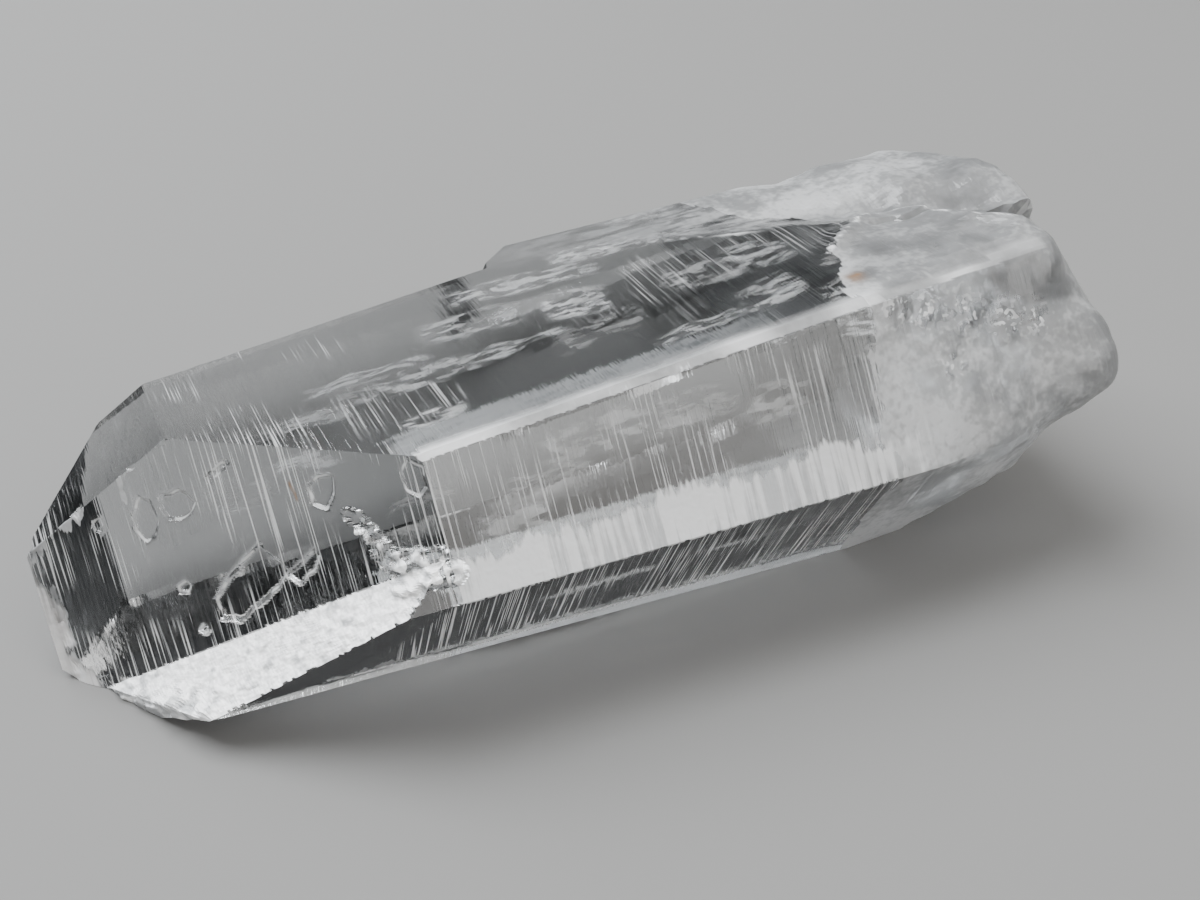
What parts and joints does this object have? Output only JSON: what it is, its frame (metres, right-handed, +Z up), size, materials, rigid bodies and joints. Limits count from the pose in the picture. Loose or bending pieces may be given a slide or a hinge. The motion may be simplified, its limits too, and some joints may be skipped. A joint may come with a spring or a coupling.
{
  "type": "lemurian quartz crystal",
  "caption": "Clear quartz point lying on its side, with ledged prism faces, a pitted slanting tip, a white contact shelf and a frosted, rounded root.",
  "frame": {"origin": "middle of the bounding box's bottom face, on the resting face", "axes": "+Z up; +X along the crystal's length, from the slanting tip towards the root; -Y towards the white shelf"},
  "size_m": [0.0758, 0.0338, 0.0222],
  "materials": {
    "quartz": "gloss"
  },
  "bodies": {
    "root": {"quartz_crystal": "quartz"}
  },
  "joints": []
}
